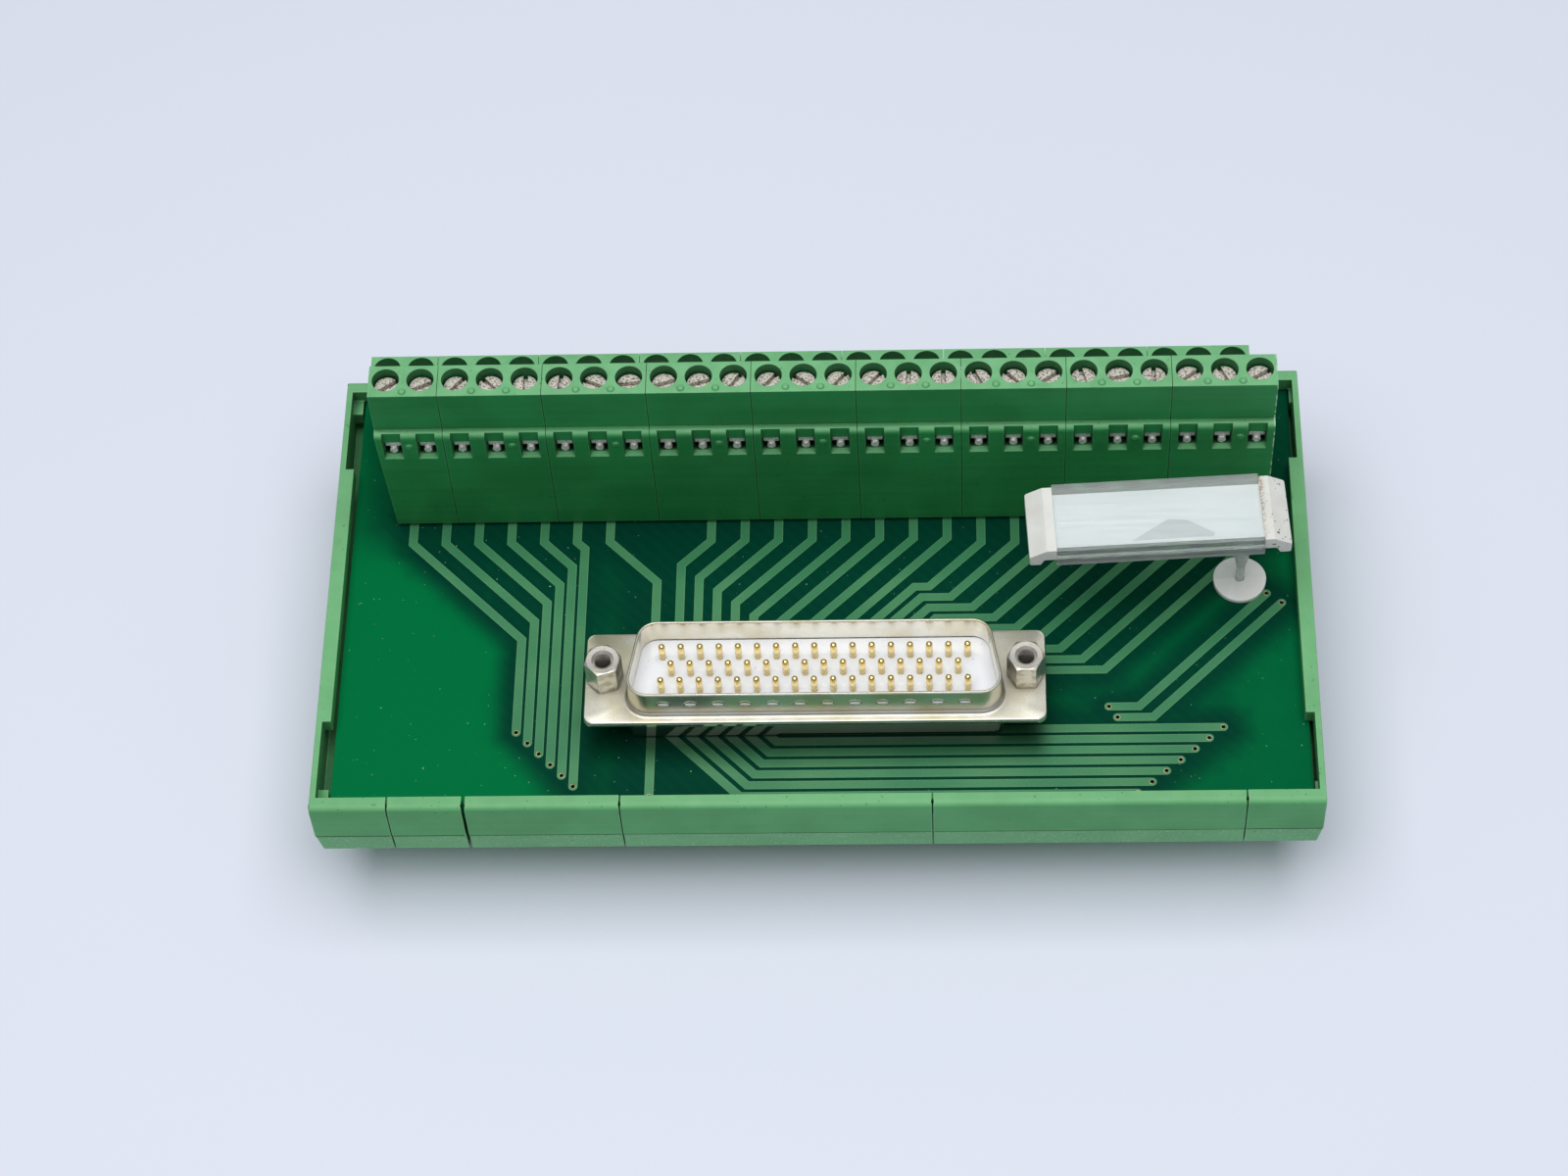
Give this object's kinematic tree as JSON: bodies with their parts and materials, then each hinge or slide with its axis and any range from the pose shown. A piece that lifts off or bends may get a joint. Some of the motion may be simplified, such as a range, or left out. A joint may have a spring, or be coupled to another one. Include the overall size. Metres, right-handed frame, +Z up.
{
  "type": "termination board",
  "caption": "Rail-mount termination board: green carrier with a circuit board, upright D connector, double-level screw terminals and a label holder on a post.",
  "frame": {"origin": "middle of the outline at the height of the feet, on the resting plane", "axes": "+X along the carrier, +Y from the connector towards the terminal row, +Z up from the feet through the board"},
  "size_m": [0.1462, 0.077, 0.0534],
  "materials": {
    "housing_plastic": "satin",
    "terminal_plastic": "satin",
    "board_laminate": "gloss",
    "masked_copper": "gloss",
    "plated_steel": "worn",
    "tinned_shell": "satin",
    "nickel_steel": "satin",
    "white_insulator": "satin",
    "gold_contacts": "polished",
    "white_plastic": "satin",
    "clear_plastic": "gloss",
    "paper": "matte"
  },
  "bodies": {
    "carrier": {"base_element_medium": "housing_plastic", "base_element_narrow": "housing_plastic", "base_element_wide_left": "housing_plastic", "base_element_wide_right": "housing_plastic", "circuit_board": "board_laminate", "connector_contacts": "gold_contacts", "connector_front_shell": "tinned_shell", "connector_insulator": "white_insulator", "connector_rear_shell": "tinned_shell", "copper_tracks": "masked_copper", "flange_spacer_left": "nickel_steel", "flange_spacer_right": "nickel_steel", "jackscrew_left": "nickel_steel", "jackscrew_right": "nickel_steel", "label_foot": "white_plastic", "lower_solder_tails": "plated_steel", "lower_terminal_screws": "plated_steel", "lower_wire_clamps": "plated_steel", "rail_foot_left": "housing_plastic", "rail_foot_right": "housing_plastic", "side_element_left": "housing_plastic", "side_element_right": "housing_plastic", "terminal_block_1": "terminal_plastic", "terminal_block_2": "terminal_plastic", "terminal_block_3": "terminal_plastic", "terminal_block_4": "terminal_plastic", "terminal_block_5": "terminal_plastic", "terminal_block_6": "terminal_plastic", "terminal_block_7": "terminal_plastic", "terminal_block_8": "terminal_plastic", "terminal_block_9": "terminal_plastic", "upper_solder_tails": "plated_steel", "upper_terminal_screws": "plated_steel", "upper_wire_clamps": "plated_steel"},
    "label_holder": {"label_post": "clear_plastic", "label_profile": "clear_plastic", "label_insert": "paper", "label_cap_left": "white_plastic", "label_cap_right": "white_plastic"},
    "latch_left": {"rail_latch_left": "housing_plastic"},
    "latch_right": {"rail_latch_right": "housing_plastic"}
  },
  "joints": [
    {"name": "label_swivel", "type": "hinge", "parent": "carrier", "child": "label_holder", "pos_m": [0.0627, 0.0013, 0.03], "axis": [0, 0, 1], "range_deg": [-10, 175]},
    {"name": "left_latch_slide", "type": "slide", "parent": "carrier", "child": "latch_left", "axis": [0, 1, 0], "range_m": [0, 0.003]},
    {"name": "right_latch_slide", "type": "slide", "parent": "carrier", "child": "latch_right", "axis": [0, 1, 0], "range_m": [0, 0.003]}
  ]
}
